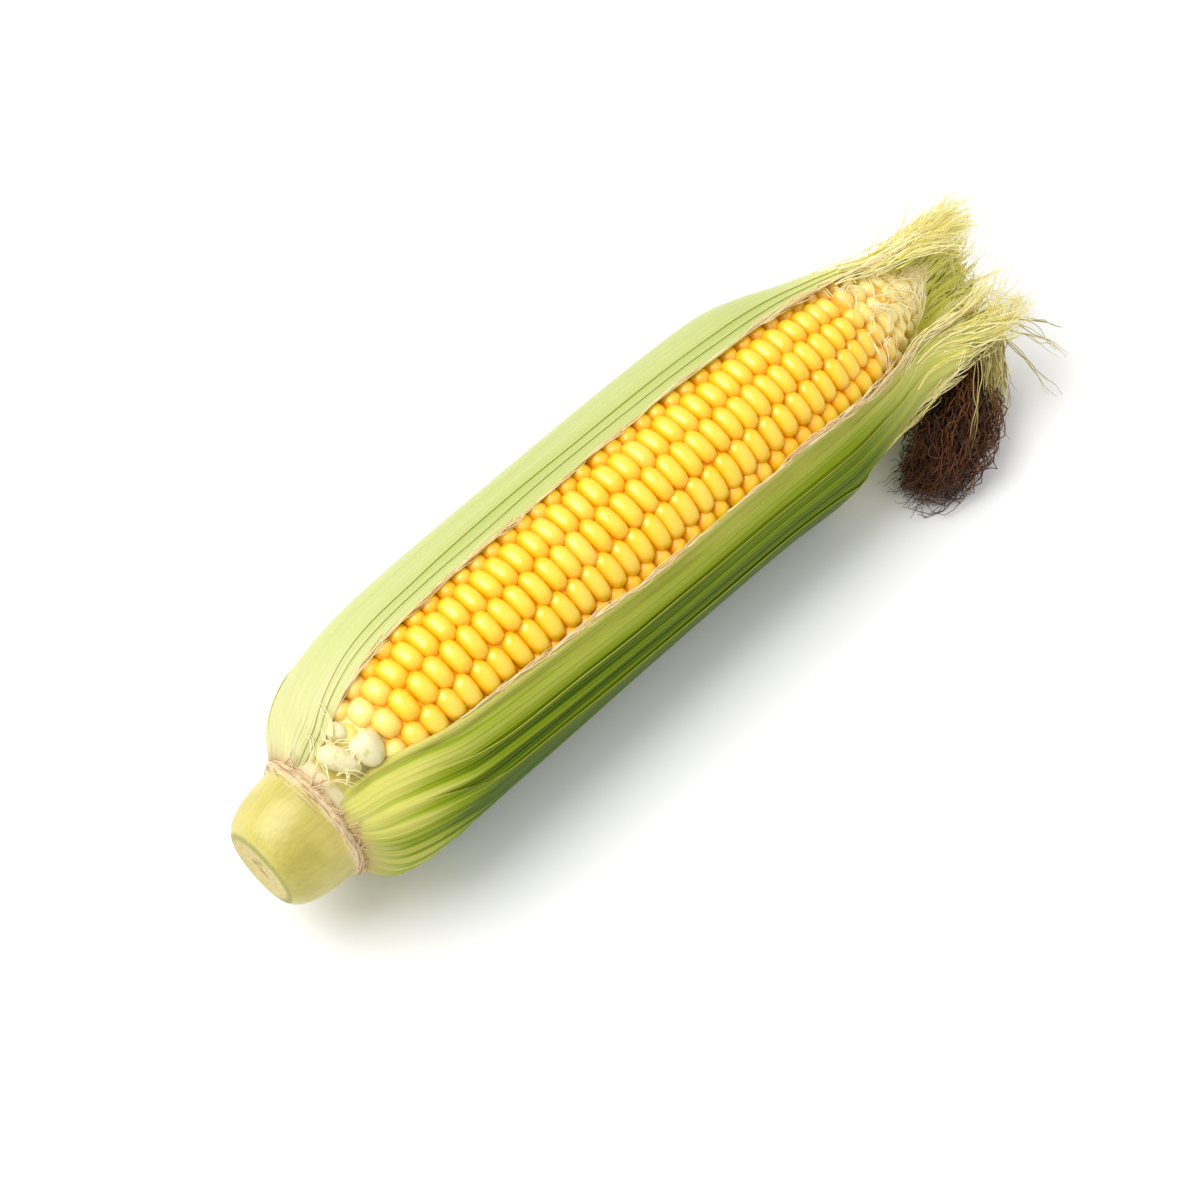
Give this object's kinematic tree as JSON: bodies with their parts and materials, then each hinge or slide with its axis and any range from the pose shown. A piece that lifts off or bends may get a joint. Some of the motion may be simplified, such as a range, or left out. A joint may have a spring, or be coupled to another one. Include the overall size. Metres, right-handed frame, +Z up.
{
  "type": "ear of sweet corn",
  "caption": "Ear of sweet corn lying on its back, with its husk opened along the top to show the kernels, its cut stem and its silk.",
  "frame": {"origin": "centre of the ear's footprint, on the surface that it lies on", "axes": "+X along the ear from the cut stem to the tip, +Z up, through the opening in the husk"},
  "size_m": [0.2499, 0.069, 0.0533],
  "materials": {
    "kernels": "smooth, waxy yellow kernels with a broad soft highlight",
    "husk_inner": "pale yellow-green leaf with fine ribs along it, satin",
    "husk_outer": "mid green leaf with fine ribs along it, satin",
    "shank": "waxy pale green stem with a fibrous, paler cut face",
    "silk": "dry dark brown threads, paler where they are fresh"
  },
  "bodies": {
    "root": {"ear": "kernels", "shank": "shank", "silk": "silk", "husk_leaf_left_1": "husk_inner", "husk_leaf_left_2": "husk_inner", "husk_leaf_left_3": "husk_outer", "husk_leaf_left_4": "husk_outer", "husk_leaf_right_1": "husk_inner", "husk_leaf_right_2": "husk_inner", "husk_leaf_right_3": "husk_outer", "husk_leaf_right_4": "husk_outer"}
  },
  "joints": []
}
